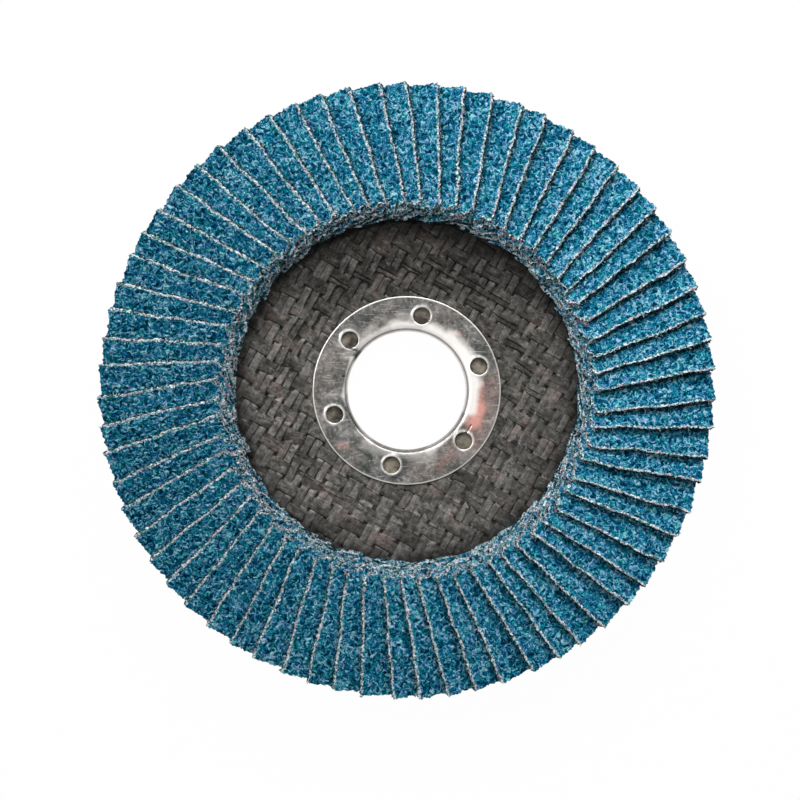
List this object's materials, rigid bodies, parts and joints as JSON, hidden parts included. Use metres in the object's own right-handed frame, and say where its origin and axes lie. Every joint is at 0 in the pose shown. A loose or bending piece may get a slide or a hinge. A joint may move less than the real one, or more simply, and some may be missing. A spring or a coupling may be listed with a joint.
{
  "type": "flap disc",
  "caption": "Round abrasive disc: overlapping coated-cloth flaps glued round the rim of a dished woven plate, with a steel ring round its centre hole.",
  "frame": {"origin": "on the axis of the bore, level with the back of the hub, which the disc lies on", "axes": "+Z out of the abrasive side, away from the grinder; +X and +Y in the plane of the disc"},
  "size_m": [0.1165, 0.1165, 0.0128],
  "materials": {
    "glass_cloth_plate": "woven glass cloth pressed in dark phenolic resin, dull",
    "tinned_steel": "tin-plated pressed steel, mottled and slightly dull",
    "cured_resin": "cured adhesive, dark and slightly glossy",
    "abrasive_cloth": "blue-green abrasive grain on cloth, pale frayed cut edges"
  },
  "bodies": {
    "root": {"arbor_ring": "tinned_steel", "backing_plate": "glass_cloth_plate", "flaps_01_02": "abrasive_cloth", "flaps_03_04": "abrasive_cloth", "flaps_05_06": "abrasive_cloth", "flaps_07_08": "abrasive_cloth", "flaps_09_10": "abrasive_cloth", "flaps_11_12": "abrasive_cloth", "flaps_13_14": "abrasive_cloth", "flaps_15_16": "abrasive_cloth", "flaps_17_18": "abrasive_cloth", "flaps_19_20": "abrasive_cloth", "flaps_21_22": "abrasive_cloth", "flaps_23_24": "abrasive_cloth", "flaps_25_26": "abrasive_cloth", "flaps_27_28": "abrasive_cloth", "flaps_29_30": "abrasive_cloth", "flaps_31_32": "abrasive_cloth", "flaps_33_34": "abrasive_cloth", "flaps_35_36": "abrasive_cloth", "flaps_37_38": "abrasive_cloth", "flaps_39_40": "abrasive_cloth", "flaps_41_42": "abrasive_cloth", "flaps_43_44": "abrasive_cloth", "flaps_45_46": "abrasive_cloth", "flaps_47_48": "abrasive_cloth", "flaps_49_50": "abrasive_cloth", "flaps_51_52": "abrasive_cloth", "flaps_53_54": "abrasive_cloth", "flaps_55_56": "abrasive_cloth", "flaps_57_58": "abrasive_cloth", "flaps_59_60": "abrasive_cloth", "flaps_61_62": "abrasive_cloth", "flaps_63_64": "abrasive_cloth", "flaps_65_66": "abrasive_cloth", "flaps_67": "abrasive_cloth", "resin_bed": "cured_resin"}
  },
  "joints": []
}
